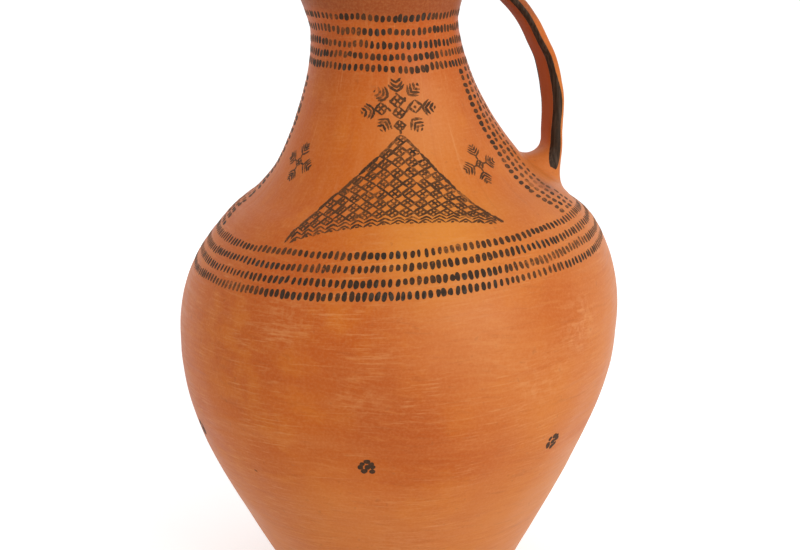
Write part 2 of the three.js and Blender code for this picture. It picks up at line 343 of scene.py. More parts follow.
# One tree of shader nodes, or one output in it. Arithmetic on an output adds Math nodes.
class Wire:
    def __init__(self, tree, socket=None):
        self.tree = tree
        self.socket = socket

    def node(self, kind, settings=None, inputs=None, output=0):
        made = self.tree.nodes.new(kind)
        for key, value in (settings or {}).items():
            setattr(made, key, value)
        for key, value in (inputs or {}).items():
            if isinstance(value, Wire):
                self.tree.links.new(value.socket, made.inputs[key])
            else:
                made.inputs[key].default_value = value
        return Wire(self.tree, made.outputs[output] if made.outputs else None)

    def math(self, operation, first, second=0.0):
        return self.node("ShaderNodeMath", {"operation": operation}, {0: first, 1: second})

    def __add__(self, other):
        return self.math("ADD", self, other)

    def __sub__(self, other):
        return self.math("SUBTRACT", self, other)

    def __rsub__(self, other):
        return self.math("SUBTRACT", other, self)

    def __mul__(self, other):
        return self.math("MULTIPLY", self, other)

    def __truediv__(self, other):
        return self.math("DIVIDE", self, other)

    __radd__ = __add__
    __rmul__ = __mul__

    def root(self):
        return self.math("SQRT", self)

    def rise(self, low, high):
        inputs = {"Value": self, "From Min": low, "From Max": high}
        return self.node("ShaderNodeMapRange", {"interpolation_type": "SMOOTHSTEP"}, inputs)

    def mix(self, first, second):
        settings = {"data_type": "RGBA", "blend_type": "MIX"}
        return self.node("ShaderNodeMix", settings, {0: self, 6: first, 7: second}, 2)

    def noise(self, scale, detail=2.0, roughness=0.5):
        inputs = {"Vector": self, "Scale": scale, "Detail": detail, "Roughness": roughness}
        return self.node("ShaderNodeTexNoise", None, inputs)

    def point(self, x, y, z):
        return self.node("ShaderNodeCombineXYZ", None, {0: x, 1: y, 2: z})

    def parts(self):
        return [self.node("ShaderNodeSeparateXYZ", None, {0: self}, i) for i in (0, 1, 2)]

    def distance(self, centre):
        return self.node("ShaderNodeVectorMath", {"operation": "DISTANCE"}, {0: self, 1: centre}, 1)

    def attribute(self, name):
        return self.node("ShaderNodeAttribute", {"attribute_name": name}, None, 2)


# An empty material and its tree
def newMaterial(name):
    material = bpy.data.materials.new(name)
    material.use_nodes = True
    material.node_tree.nodes.clear()
    return material, Wire(material.node_tree)


# The fired body. Colours are linear. A noise is its scale, detail and roughness. A streak is the
# point it reads, its scale across and up, and its roughness, and a slope a tilt and a drift.
clay = {
    "body": (0.560, 0.126, 0.0115, 1),
    "redder": (0.48, 0.088, 0.010, 1),
    "yellower": (0.61, 0.162, 0.016, 1),
    "warm": (0.66, 0.225, 0.052, 1),
    "pink": (0.63, 0.205, 0.056, 1),
    "amber": (0.70, 0.240, 0.036, 1),
    "pale": (0.72, 0.31, 0.11, 1),
    "dark": (0.24, 0.060, 0.016, 1),
    "inside": (0.34, 0.085, 0.022, 1),
    "brownAndShade": (0.27, 0.062, 0.016, 1),
    "neck": (0.262, 0.300), "neckShare": 0.6,
    "noises": {"broad": (8.5, 3.0, 0.55), "cloud": (26.0, 4.0, 0.6), "grain": (620.0, 3.0, 0.6),
               "speck": (210.0, 2.0, 0.5), "patch": (16.0, 3.0, 0.6), "sway": (7.0, 1.0, 0.5),
               "smudge": (30.0, 3.0, 0.6)},
    "streaks": {"round": ("level", 16, 460, 0.68), "roundWide": ("level", 5, 95, 0.55),
                "brushed": ("level", 58, 720, 0.66), "crossed": ("crossing", 42, 380, 0.66),
                "upright": ("upward", 24, 16, 0.6), "uprightWide": ("upward", 7, 6, 0.55)},
    "slopes": {"level": (-0.06, 0.012), "crossing": (0.13, 0.02)},
    # Painted light: the clay turns warmer and paler towards the key lamp's side, and towards the foot where
    # light bounces up from the floor.
    "towardsKey": (-0.01, 0.13), "towardsFoot": (0.150, 0.085), "towards": (0.55, 0.50),
    # The level of the flare's darkening, partly painted shade, tilts with x and drifts with the cloud noise.
    "flareShadeTilt": 0.05, "flareShadeDrift": 0.012,
    "patchyAt": (0.40, 0.62), "rubbedAt": {"crossed": (0.44, 0.62), "speck": (0.46, 0.62)},
    # What tints the clay, in order: a field, the values over which it rises, the field that
    # limits it, its strength and its tint. Patches and scuffs lie between the three groups.
    # In the ground, towards lays that painted light.
    "ground": (
        ("broad", (0.38, 0.62), None, 0.8, "redder"), ("cloud", (0.48, 0.70), None, 0.7, "yellower"),
        ("towards", None, None, 1.0, "warm"), ("height", (0.345, 0.385), None, 0.55, "redder")),
    "brushwork": (
        ("wide", (0.50, 0.78), None, 0.34, "pink"), ("wide", (0.46, 0.24), None, 0.40, "redder"),
        ("brushed", (0.50, 0.74), "patchy", 0.44, "pale"),
        ("crossed", (0.52, 0.72), "belowNeck", 0.26, "warm"),
        ("brushed", (0.47, 0.28), "mostlyBelow", 0.18, "redder"),
        ("crossed", (0.44, 0.28), "belowNeck", 0.13, "dark"),
        ("fine", (0.56, 0.76), "cloudy", 0.46, "pale")),
    # Last, wear and shade: dark marks, specks and grain, and the flare above the top neck ring darkened
    # where it turns down, partly the clay's own tone and partly painted shade.
    "wearAndShade": (
        ("fine", (0.40, 0.20), None, 0.15, "dark"), ("speck", (0.66, 0.78), None, 0.20, "dark"),
        ("flareShade", (0.402, 0.412), None, 0.8, "brownAndShade"), ("grain", (0.35, 0.75), None, 0.16, "pale")),
    # Patches: a place, a reach, a strength and a tint. The warm patch on top of the shoulder and the pink
    # one above it are a painted highlight, and the pink one right of the belly's middle is the clay's own
    # tint with painted sheen in it. Scuffs are pale.
    "patches": (
        ((0.040, -0.142, 0.220), 0.078, 0.78, "pink"), ((-0.03, -0.13, 0.12), 0.06, 0.25, "pink"),
        ((0.02, -0.075, 0.335), 0.050, 0.72, "warm"), ((0.012, -0.058, 0.352), 0.045, 0.60, "pink"),
        ((0.0, -0.14, 0.176), 0.085, 0.72, "redder"), ((0.105, -0.105, 0.232), 0.055, 0.55, "redder"),
        ((-0.01, -0.15, 0.178), 0.065, 0.13, "dark"), ((-0.035, -0.05, 0.370), 0.050, 0.60, "redder"),
        ((-0.04, -0.035, 0.375), 0.040, 0.22, "dark"), ((0.022, -0.112, 0.284), 0.070, 0.95, "amber"),
        ((0.098, -0.030, 0.296), 0.015, 0.75, "brownAndShade")),
    "scuffs": (
        ((-0.068, -0.129, 0.232), 0.026, 0.34), ((-0.026, -0.148, 0.190), 0.028, 0.32),
        ((0.090, -0.120, 0.192), 0.038, 0.34), ((0.116, -0.096, 0.222), 0.030, 0.62),
        ((0.060, -0.136, 0.215), 0.034, 0.26), ((0.0, -0.110, 0.075), 0.050, 0.22)),
    "raggedness": 0.7,
    "polish": 0.43, "raw": 0.74, "gloss": {"fine": 0.30, "cloud": 0.16},
    "relief": {"fine": 0.28, "wide": 0.25, "grain": 0.10}, "pits": ((0.66, 0.80), 0.12),
    "bump": 0.35, "bumpDepth": 0.001, "shine": 0.12,
    "insideFrom": (0.30, 0.9), "insideCover": 0.85,
}


# Every field that the clay's finish reads. Streaks run round the belly and up the neck, as the
# polishing stone was drawn: their noises change faster across a streak than along it.
def clayFields(wires):
    place = wires.node("ShaderNodeTexCoord", None, None, 3)
    x, y, z = place.parts()
    field = {name: place.noise(*values) for name, values in clay["noises"].items()}
    neck = z.rise(*clay["neck"])
    reach = (x * x + y * y + 0.00001).root()
    points = {name: (x, y, z + x * tilt + field["sway"] * drift)
              for name, (tilt, drift) in clay["slopes"].items()}
    points["upward"] = (x / reach, y / reach, z)
    for name, (point, across, up, roughness) in clay["streaks"].items():
        a, b, c = points[point]
        field[name] = wires.point(a * across, b * across, c * up).noise(1.0, 3.0, roughness)
    field["place"] = place
    field["height"] = z
    field["belowNeck"] = 1 - neck
    field["mostlyBelow"] = 1 - neck * clay["neckShare"]
    field["fine"] = field["round"] * (1 - neck) + field["upright"] * neck
    field["wide"] = field["roundWide"] * (1 - neck) + field["uprightWide"] * neck
    field["patchy"] = field["patch"].rise(*clay["patchyAt"]) * field["mostlyBelow"]
    field["cloudy"] = field["cloud"].rise(*clay["patchyAt"])
    field["rubbed"] = sum(field[name].rise(*levels) * 0.5 for name, levels in clay["rubbedAt"].items())
    # Painted light: warmer and paler on the key lamp's side and low on the belly
    toKey, toFoot = clay["towards"]
    field["towards"] = x.rise(*clay["towardsKey"]) * toKey + z.rise(*clay["towardsFoot"]) * toFoot
    # The level above which the flare darkens: partly its own tone, partly painted shade where it turns down
    field["flareShade"] = z + x * clay["flareShadeTilt"] + (field["cloud"] - 0.5) * clay["flareShadeDrift"]
    return field


# Each tint of a group is laid over the colour by its field's rise times its limit and strength
def tinted(field, colour, group):
    for name, levels, limit, strength, tint in clay[group]:
        amount = field[name].rise(*levels) if levels else field[name]
        amount = amount * field[limit] if limit else amount
        colour = (amount * strength).mix(colour, clay[tint])
    return colour


# Colour, roughness and height of the clay at a point of the jar, the same on the bare wall and
# under the slip
def clayFinish(wires):
    field = clayFields(wires)

    def nearness(centre, size):
        ragged = (field["cloud"] - 0.5) * size * clay["raggedness"]
        return (field["place"].distance(centre) + ragged).rise(size, 0.0)

    colour = tinted(field, clay["body"], "ground")
    for centre, size, strength, tint in clay["patches"]:
        colour = (nearness(centre, size) * strength).mix(colour, clay[tint])
    colour = tinted(field, colour, "brushwork")
    for centre, size, strength in clay["scuffs"]:
        colour = (nearness(centre, size) * field["rubbed"] * strength).mix(colour, clay["pale"])
    colour = tinted(field, colour, "wearAndShade")
    dull = sum((field[name] - 0.5) * share for name, share in clay["gloss"].items())
    height = sum(field[name] * share for name, share in clay["relief"].items())
    pits, pitDepth = clay["pits"]
    return field, colour, clay["polish"] + dull, height - field["speck"].rise(*pits) * pitDepth


# The shader at the end of a tree, with its normal bent by the slopes of the height
def surface(wires, colour, roughness, height):
    relief = {"Strength": clay["bump"], "Distance": clay["bumpDepth"], "Height": height}
    normal = wires.node("ShaderNodeBump", None, relief)
    inputs = {"Base Color": colour, "Roughness": roughness, "Normal": normal,
              "Specular IOR Level": clay["shine"]}
    shader = wires.node("ShaderNodeBsdfPrincipled", None, inputs)
    wires.node("ShaderNodeOutputMaterial", None, {"Surface": shader})


# The bare wall, which turns dull and dark with the share of inside. On the handle that share is its neck
# side, partly unburnished and partly painted shade.
def makeBurnishedClay():
    material, wires = newMaterial("burnishedClay")
    field, colour, roughness, height = clayFinish(wires)
    inner = wires.attribute("inner")
    cover = inner.rise(*clay["insideFrom"]) * clay["insideCover"]
    colour = cover.mix(colour, field["smudge"].mix(clay["inside"], clay["redder"]))
    surface(wires, colour, roughness * (1 - inner) + inner * clay["raw"], height)
    return material


# Dark slip over the clay. Each painted mesh carries how much slip lies at a point (load) and
# how thick each touch of the brush is (tone): a thin touch is brown, and wears off first.
slip = {
    "thick": (0.032, 0.019, 0.011, 1),
    "thin": (0.138, 0.052, 0.017, 1),
    # Grey of the painted sheen on thick slip
    "greySheen": (0.088, 0.056, 0.037, 1),
    "rough": 0.62, "relief": 0.35,
    "edge": (0.30, 0.54), "ragged": (((900.0, 3.0, 0.6), 0.55), ((260.0, 2.0, 0.5), 0.5)),
    "wornNoise": (480.0, 3.0, 0.6), "wornAt": (0.20, 0.46), "worn": 0.55, "toneHolds": 0.55,
    "stainAt": (0.60, 1.25), "stainNoise": 0.7,
    # Painted sheen: grey streaks on thick touches, stretched round the jar
    "sheenAcross": 620, "sheenUp": 45, "sheenAt": (0.40, 0.66), "sheenTone": (0.80, 0.85), "sheenShare": 0.7,
}


# Cover is the load with ragged noise, less what is worn off. Its stain runs from thin to thick
# with the tone, and a thick touch has streaks of painted grey sheen in it.
def makeDarkSlip():
    material, wires = newMaterial("darkSlip")
    field, colour, roughness, height = clayFinish(wires)
    place, load, tone = field["place"], wires.attribute("load"), wires.attribute("tone")
    ragged = sum((place.noise(*values) - 0.5) * share for values, share in slip["ragged"])
    worn = place.noise(*slip["wornNoise"])
    cover = (load + ragged).rise(*slip["edge"])
    cover = cover * (1 - (worn - tone * slip["toneHolds"]).rise(*slip["wornAt"]) * slip["worn"])
    stain = (worn * slip["stainNoise"] + tone).rise(*slip["stainAt"]).mix(slip["thin"], slip["thick"])
    x, y, z = place.parts()
    across, up = slip["sheenAcross"], slip["sheenUp"]
    sheenStreaks = wires.point(x * across, y * across, z * up).noise(1.0, 2.0, 0.6).rise(*slip["sheenAt"])
    stain = (sheenStreaks * tone.rise(*slip["sheenTone"]) * slip["sheenShare"]).mix(stain, slip["greySheen"])
    roughness = roughness * (1 - cover) + cover * slip["rough"]
    surface(wires, cover.mix(colour, stain), roughness, height + cover * slip["relief"])
    return material


burnishedClay = makeBurnishedClay()
darkSlip = makeDarkSlip()
print("materials ready")

# Courses of wall from the base up. Each joint climbs to the inside by the scarf's rise.
courses = {
    "joints": (0.014, 0.112, 0.212, 0.305, 0.392, 0.436),
    "names": ("lower_wall", "belly_wall", "shoulder_wall", "neck_wall", "mouth_flare"),
    "scarfRise": 0.008, "scarfRows": 4,
    "around": 360, "axisGap": 0.001,
    "rowOutside": 0.0022, "rowInside": 0.0045, "rowLip": 0.0008,
}


# Where a joint that starts at a height on the outside comes out on the inside
def insideSeam(height):
    along = outsideAt(height + courses["scarfRise"])
    return insideAt(height + courses["scarfRise"] - sectionAt(along)[3] * outline["thickness"])


# Even places from a start to an end, as near to a step apart as fits
def rowsAlong(start, end, step):
    return np.linspace(start, end, max(2, int(round(abs(end - start) / step)) + 1))


# A piece of wall: its section runs along the jar's section line, and crosses the wall in a
# straight joint from one place on that line to another
def wallPiece(name, stretches, joints, ringClosed, slotName):
    angle = np.arange(courses["around"]) * 360 / courses["around"]
    share = np.linspace(0, 1, courses["scarfRows"] + 2)[1:-1, None, None]
    points, normals, inner = [], [], []
    for stretch, joint in zip(stretches, joints):
        points.append(skin(angle, stretch[:, None]))
        normals.append(skinNormal(angle, stretch[:, None]))
        inner.append(sectionAt(stretch)[5])
        if joint is not None:
            first, last = skin(angle, stretch[-1]), skin(angle, joint)
            points.append(first + (last - first) * share)
            normals.append(np.zeros_like(points[-1]))
            inner.append(np.ones(len(share)))
    points, normals, inner = (np.concatenate(part) for part in (points, normals, inner))
    gridPiece(name, points, normals, inner[:, None], slotName, ringClosed, ((0, 0, -1), (0, 0, 1)))


# The courses between two joints each, then the rim, and the disc with a small gap at the axis
def makeWalls():
    joints = courses["joints"]
    for name, low, high in zip(courses["names"], joints[:-1], joints[1:]):
        outside = rowsAlong(outsideAt(low), outsideAt(high), courses["rowOutside"])
        inside = rowsAlong(insideSeam(high), insideSeam(low), courses["rowInside"])
        wallPiece(name, [outside, inside], [inside[0], outside[0]], True, "burnished_clay")
    lipStart, lipEnd = outsideAt(joints[-1]), insideSeam(joints[-1])
    rim = rowsAlong(lipStart, lipEnd, courses["rowLip"])
    wallPiece("rim_coil", [rim], [lipStart], True, "burnished_clay")
    gap = courses["axisGap"]
    foot = rowsAlong(gap, outsideAt(joints[0]), courses["rowOutside"])
    floor = rowsAlong(insideSeam(joints[0]), sectionRun[-1] - gap, courses["rowInside"])
    wallPiece("base_disc", [foot, floor], [floor[0], None], False, "raw_clay")


makeWalls()
print("walls ready")

# Coil pressed into the corner between floor and wall, inside
luteCoil = {
    "height": 0.020, "reach": 0.013, "hollow": 0.35, "gap": 0.0003,
    "from": 0.004, "heel": 0.002, "wallRows": 8, "faceRows": 14, "around": 180,
}


# A ring turned about the axis from a closed line, leaned with the jar. The line climbs along
# the wall and comes back to the floor in a hollow Bezier curve.
def makeLuteCoil():
    floor = outline["floor"] + luteCoil["gap"]
    depth = outline["thickness"] + luteCoil["gap"]
    heights = np.linspace(floor + luteCoil["from"], floor + luteCoil["height"], luteCoil["wallRows"])
    columns = sectionAt(outsideAt(heights))
    wall = np.stack([columns[0], heights], axis=1) - depth * columns[2:4].T
    heel, toe = (np.array([wall[0, 0] - luteCoil[key], floor]) for key in ("heel", "reach"))
    pull = (wall[-1] + toe) / 2 * (1 - luteCoil["hollow"]) + heel * luteCoil["hollow"]
    t = np.linspace(0, 1, luteCoil["faceRows"])[1:, None]
    line = np.concatenate([[heel], wall, bezier(t, wall[-1], pull, toe)])
    angle = np.linspace(0, 2 * np.pi, luteCoil["around"], endpoint=False)
    grid = leaned(turned(line[:, :1], angle, line[:, 1:]))
    gridPiece("base_lute_coil", grid, None, 1, "raw_clay", True)


makeLuteCoil()

# The strap handle stands in an upright plane, at an angle from +X towards the back. Its route
# is given in shares of its height, above the foot's seat and out from the foot's radius. A
# print is the outline of an end's clay on the wall, and how hard its skirt is pulled at each end.
handle = {
    "names": ("handle_foot_lute", "handle_strap", "handle_head_lute"),
    "angle": 14.0,
    "footHeight": 0.284, "headHeight": 0.424,
    "route": ((0.191, 0.001), (0.397, 0.019), (0.592, -0.003), (0.688, -0.042),
              (0.782, -0.084), (0.877, -0.150), (0.954, -0.240)),
    "footSink": 0.022, "headSink": 0.008,
    "width": 0.027, "thickness": 0.0098, "squareness": (0.62, 0.82),
    "thin": 0.11, "thinFrom": (0.50, 0.72), "thinTo": (0.76, 0.96),
    "twist": 8, "twistFrom": (0.24, 0.46), "twistTo": (0.52, 0.92),
    "footPatch": 0.027, "headPatch": 0.016,
    "prints": ({"height": 0.2862, "side": 0.0260, "up": 0.0345, "down": 0.0170,
                "flip": 1, "pull": (1.35, 1.25)},
               {"height": 0.424, "side": 0.0195, "up": 0.0105, "down": 0.0120,
                "flip": -1, "pull": (1.0, 1.0)}),
    "bury": 0.0001, "leaveTo": 0.97, "sunkShare": 0.94, "sunk": 0.003, "wallBlend": (0.02, 0.3),
    "around": 72, "patchRows": 22, "rowLength": 0.0022, "step": 0.001,
    "lumpiness": 0.7, "lumpScale": 1.7, "lumpsOver": (0, 0.7),
    # The strap's side towards the neck: partly unburnished, partly painted shade
    "innerDullAndShade": 0.8, "shadedRows": (0.5, 1.3), "shadedTurn": (0.1, 0.8),
}


# A centripetal Catmull-Rom curve through points: each stretch is a Hermite curve whose ends
# take their directions from the neighbours, weighed by the square roots of the distances
def smoothRoute(points, count=60):
    points = np.asarray(points, float)
    points = np.concatenate([[2 * points[0] - points[1]], points, [2 * points[-1] - points[-2]]])
    gap = np.sqrt(np.linalg.norm(np.diff(points, axis=0), axis=1))[:, None]
    slope = np.diff(points, axis=0) / gap
    wide = (points[2:] - points[:-2]) / (gap[1:] + gap[:-1])
    start = (slope[:-2] - wide[:-1] + slope[1:-1]) * gap[1:-1]
    end = (slope[1:-1] - wide[1:] + slope[2:]) * gap[1:-1]
    t = np.linspace(0, 1, count, endpoint=False)[None, :, None]
    curve = hermite(t, points[1:-2, None], start[:, None], points[2:-1, None], end[:, None])
    return np.concatenate([curve.reshape(-1, points.shape[1]), points[-2:-1]])


# The points of the route are its shares times the handle's rise. It starts below the foot's
# seat and ends inside the neck, a quarter of its sink higher.
def handleRoute():
    foot, head, sink = (handle[key] for key in ("footHeight", "headHeight", "headSink"))
    footRadius, headRadius = radiusAt(outsideAt(foot)), radiusAt(outsideAt(head))
    rise = head - foot
    middle = [(footRadius + out * rise, foot + up * rise) for up, out in handle["route"]]
    return smoothRoute([(footRadius, foot - handle["footSink"]), (footRadius, foot), *middle,
                        (headRadius, head), (headRadius - sink, head + sink / 4)])


routeLine = handleRoute()
routeRun = runAlong(routeLine)


# Radius and height of the route at distances along it
def routeAt(distance):
    return np.stack([np.interp(distance, routeRun, column) for column in routeLine.T], axis=-1)


# From radius, side and height in the handle's plane to the jar's x, y and z, before the lean
def inHandlePlane(radius, side, height):
    angle = np.radians(handle["angle"])
    radius, side, height = np.broadcast_arrays(radius, side, height)
    return np.stack([radius * np.cos(angle) - side * np.sin(angle),
                     radius * np.sin(angle) + side * np.cos(angle), height], axis=-1)


# Sections of the strap at distances along its route: a superellipse, wide across the handle's
# plane and thin through it. Angle 0 is the back edge and a quarter turn faces the neck. In the
# middle of the route the strap is thinner and twisted a little, its near edge outwards.
def strapSections(distance, turn):
    centre, ahead, behind = (routeAt(distance + step) for step in (0, handle["step"], -handle["step"]))
    along = unit(ahead - behind)
    acrossPower, throughPower = handle["squareness"]
    across = squared(np.cos(turn), acrossPower) * handle["width"] / 2
    through = squared(np.sin(turn), throughPower) * handle["thickness"] / 2
    share = (centre[:, 1:] - handle["footHeight"]) / (handle["headHeight"] - handle["footHeight"])
    through = through * (1 - handle["thin"] * plateau(handle["thinFrom"], handle["thinTo"], share))
    twist = np.radians(handle["twist"]) * plateau(handle["twistFrom"], handle["twistTo"], share)
    across, through = (across * np.cos(twist) - through * np.sin(twist),
                       through * np.cos(twist) + across * np.sin(twist))
    radius = centre[:, :1] - along[:, 1:] * through
    height = centre[:, 1:] + along[:, :1] * through
    return inHandlePlane(radius, across, height), inHandlePlane(along[:, :1], 0, along[:, 1:])


# A ring on the wall round one end of the handle, at a share of the print's size and a depth
def printRing(shape, turn, share=1.0, depth=0.0):
    rise = np.sin(turn) * shape["flip"]
    rise = np.where(rise > 0, shape["up"], shape["down"]) * rise * share
    along = outsideAt(shape["height"]) + rise
    side = shape["side"] * np.cos(turn) * share
    return 90 + handle["angle"] + np.degrees(side / radiusAt(along)), along, -depth


# A skirt from a ring on the wall to a section of the strap: a Hermite curve at each turn, which
# leaves the wall along its surface and meets the strap along its route
def skirt(shape, turn, sections, along):
    ring, inner = (skin(*printRing(shape, turn, share, handle["bury"])) for share in (1, handle["leaveTo"]))
    span = np.linalg.norm(sections - ring, axis=-1)[:, None]
    t = np.linspace(0, 1, handle["patchRows"])[:, None, None]
    leave, arrive = shape["pull"]
    return hermite(t, ring, unit(inner - ring) * span * leave, sections, along * span * arrive)


# Normals of a grid that closes round its columns: the change round crossed with the change along
def gridNormals(grid):
    around = np.roll(grid, -1, axis=1) - np.roll(grid, 1, axis=1)
    return unit(np.cross(around, np.gradient(grid, axis=0)))


# The handle's whole surface as one grid of rows from foot to head, with its normals. Rows from
# inside the wall and the wall's own normals close both ends.
def handleSurface():
    turn = 2 * np.pi * np.arange(handle["around"]) / handle["around"]
    footShape, headShape = handle["prints"]
    distance = rowsAlong(handle["footSink"] + handle["footPatch"],
                         routeRun[-1] - handle["headSink"] - handle["headPatch"], handle["rowLength"])
    strap, along = strapSections(distance, turn[None])
    bare = leaned(strap)
    ahead = unit(leaned(strap + along * handle["step"]) - bare)
    foot = skirt(footShape, turn, bare[0], ahead[0])
    head = skirt(headShape, turn, bare[-1], -ahead[-1])[::-1]
    grid = np.concatenate([foot[:-1], bare, head[1:]])
    share = np.concatenate([np.linspace(0, 1, len(foot) - 1), np.ones(len(bare)),
                            np.linspace(1, 0, len(head) - 1)])[:, None]
    out = lumps(grid * handle["lumpScale"]) * handle["lumpiness"] * ease(*handle["lumpsOver"], share)
    grid = grid + gridNormals(grid) * out[..., None]
    footWall, headWall = (skinNormal(*printRing(shape, turn)[:2]) for shape in handle["prints"])
    wall = np.where(np.arange(len(grid))[:, None, None] < len(grid) // 2, footWall, headWall)
    blend = ease(*handle["wallBlend"], share)[..., None]
    normal = wall * (1 - blend) + gridNormals(grid) * blend
    sunkFoot, sunkHead = (skin(*printRing(shape, turn, handle["sunkShare"], handle["sunk"]))[None]
                          for shape in handle["prints"])
    grid = np.concatenate([sunkFoot, grid, sunkHead])
    return grid, unit(np.concatenate([footWall[None], normal, headWall[None]])), turn


# The grid is cut into the two ends and the strap, two rows inside each skirt. The side that faces
# the neck is darker and dull, partly unburnished and partly painted shade, from within the foot's skirt up
# to the head's.
def makeHandle():
    grid, normal, turn = handleSurface()
    patch, total = handle["patchRows"], len(grid)
    cuts = [0, patch - 2, total - patch + 1, total - 1]
    rows = np.arange(total)[:, None]
    low, high = handle["shadedRows"]
    along = ease(patch * low, patch * high, rows) * (1 - ease(total - patch, total, rows))
    shaded = handle["innerDullAndShade"] * ease(*handle["shadedTurn"], np.sin(turn)) * along
    for name, first, last in zip(handle["names"], cuts[:-1], cuts[1:]):
        cut = slice(first, last + 1)
        gridPiece(name, grid[cut], normal[cut], shaded[cut], "burnished_clay", False)
    return grid, normal


handleGrid, handleNormal = makeHandle()
print("handle ready")

# The painted work is touches of a brush: dabs, each a small low lens, and strokes. Sizes here are
# millimetres on the wall, where across runs round the jar and up runs along its section line.
mm = 0.001
brush = {
    "seed": 21,
    "sunk": -0.15, "rim": 0.03, "middle": 0.12,
    "dabCorners": 12, "dabCore": 0.70, "dabSpread": 1.15, "dabSquareness": 0.85, "dabLobes": 0.05,
    "strokeTaper": (0.62, 0.94, 1.0, 1.0, 1.0, 0.94, 0.55), "strokeSpread": 1.65, "strokeVaries": 0.1,
    "strokeDrift": 0.16, "strokeBow": 0.13, "strokeEnds": 0.6,
}
paintSeed = np.random.default_rng(brush["seed"])
strokeSteps = np.linspace(0, 1, len(brush["strokeTaper"]))


# A place near another on the wall: the angle grows by the way across over the radius there
def onWall(angle, along, across, up):
    place = along + up * mm
    return angle + np.degrees(across * mm / radiusAt(place)), place


# Lifts and loads across a line of slip: sunk edges, a rim inside each, and slip in the middle
def slipAcross(count):
    lift = np.full(count, brush["middle"])
    lift[[0, -1]] = brush["sunk"]
    lift[[1, -2]] = brush["rim"]
    return lift, np.where(lift == brush["middle"], 1.0, 0.0)


# Faces of a tube of rows x columns of points, with one flat face on each end
def tubeFaces(rows, columns):
    last = (rows - 1) * columns
    ends = [list(range(columns))[::-1], list(range(last, last + columns))]
    return gridFaces(rows, columns, False)[:last] + ends


# A mesh of paint with a load and a tone at each point
def paintMesh(name, points, normals, faces, load, tone):
    attributes = {key: np.broadcast_to(values, points.shape[:-1]).ravel()
                  for key, values in (("load", load), ("tone", tone))}
    piece = addMesh(name, points.reshape(-1, 3), faces, normals.reshape(-1, 3), attributes)
    finishPiece(piece, darkSlip, "dark_slip")


# One from arrays with a row for each touch, which is a small tube of its own with some columns.
# It keeps the wall's own normals.
def paintPiece(name, angle, place, lift, load, tone, columns):
    count, size = angle.shape
    tube = tubeFaces(size // columns, columns)
    faces = [[corner + copy * size for corner in face] for copy in range(count) for face in tube]
    points, normals = skin(angle, place, lift * mm), skinNormal(angle, place)
    paintMesh(name, points, normals, faces, load, tone[:, None])


# Rounded dabs with a slightly uneven edge, from rows of angle, place along the section line,
# width, length, turn in degrees (leaning right) and tone
def dabPiece(name, dabs):
    angle, along, width, length, turn, tone = np.asarray(dabs, float).T[:, :, None, None]
    count, corners = len(tone), brush["dabCorners"]
    corner = 2 * np.pi * np.arange(corners) / corners
    swell = np.ones((count, 1, corners))
    for lobes in (1, 2, 3):
        size = paintSeed.normal(0, brush["dabLobes"], (count, 1, 1))
        swell += size * np.cos(lobes * corner + paintSeed.uniform(0, 2 * np.pi, (count, 1, 1)))
    wide = squared(np.cos(corner), brush["dabSquareness"]) * width / 2
    high = squared(np.sin(corner), brush["dabSquareness"]) * length / 2
    share = np.array([1, 1, brush["dabCore"]])[None, :, None] * brush["dabSpread"] * swell
    leaning = np.radians(turn)
    across = (wide * np.cos(leaning) + high * np.sin(leaning)) * share
    up = (high * np.cos(leaning) - wide * np.sin(leaning)) * share
    place = [part.reshape(count, -1) for part in onWall(angle, along, across, up)]
    lift = np.repeat([brush["sunk"], brush["rim"], brush["middle"]], corners)
    load = np.repeat([0.0, 0.0, 1.0], corners)
    paintPiece(name, *place, lift, load, tone.ravel(), corners)


# Strokes from (angle, along, line, width, tone), where a line has a point of across and up for
# each step. A hand's drift is added to each: its two ends stray, and its middle bows.
def strokePiece(name, strokes):
    angle, along, width, tone = (np.array([stroke[i] for stroke in strokes]) for i in (0, 1, 3, 4))
    lines = np.array([stroke[2] for stroke in strokes])
    count, points = lines.shape[:2]
    t = strokeSteps[None, :, None]
    first, last, bow = (paintSeed.normal(0, brush[key], (count, 1, 2))
                        for key in ("strokeDrift", "strokeDrift", "strokeBow"))
    lines = lines + first * (1 - t) + last * t + bow * np.sin(np.pi * t)
    ahead = unit(np.gradient(lines, axis=1))
    right = np.stack([ahead[..., 1], -ahead[..., 0]], axis=-1)
    swell = paintSeed.normal(1, brush["strokeVaries"], (count, points)) * np.array(brush["strokeTaper"])
    half = width[:, None] / 2 * brush["strokeSpread"] * swell
    side = np.array([-1, -1, 0, 1, 1.0])
    spread = lines[:, :, None] + right[:, :, None] * (half[:, :, None] * side)[..., None]
    place = onWall(angle[:, None], along[:, None], *np.moveaxis(spread.reshape(count, -1, 2), -1, 0))
    lift, load = (np.tile(part, (points, 1)) for part in slipAcross(len(side)))
    load[[0, -1]] *= brush["strokeEnds"]
    paintPiece(name, *place, lift.ravel(), load.ravel(), tone, len(side))


# A line through corner points as even steps along it
def evenLine(*corners):
    corners = np.asarray(corners, float)
    run = runAlong(corners)
    return np.stack([np.interp(strokeSteps * run[-1], run, column) for column in corners.T], axis=1)


# A slow wander round the jar: sines of whole numbers of waves and random phases, about 1 high
def wander(angle, waves=(2, 3, 5, 8, 13)):
    phase = paintSeed.uniform(0, 2 * np.pi, len(waves))
    return sum(np.sin(np.radians(angle) * n + p) for n, p in zip(waves, phase)) / np.sqrt(len(waves) / 2)


# A slow wander of one size and a random change of another from touch to touch
def varied(angle, slow, quick):
    return slow * wander(angle) + paintSeed.normal(0, quick, len(angle))


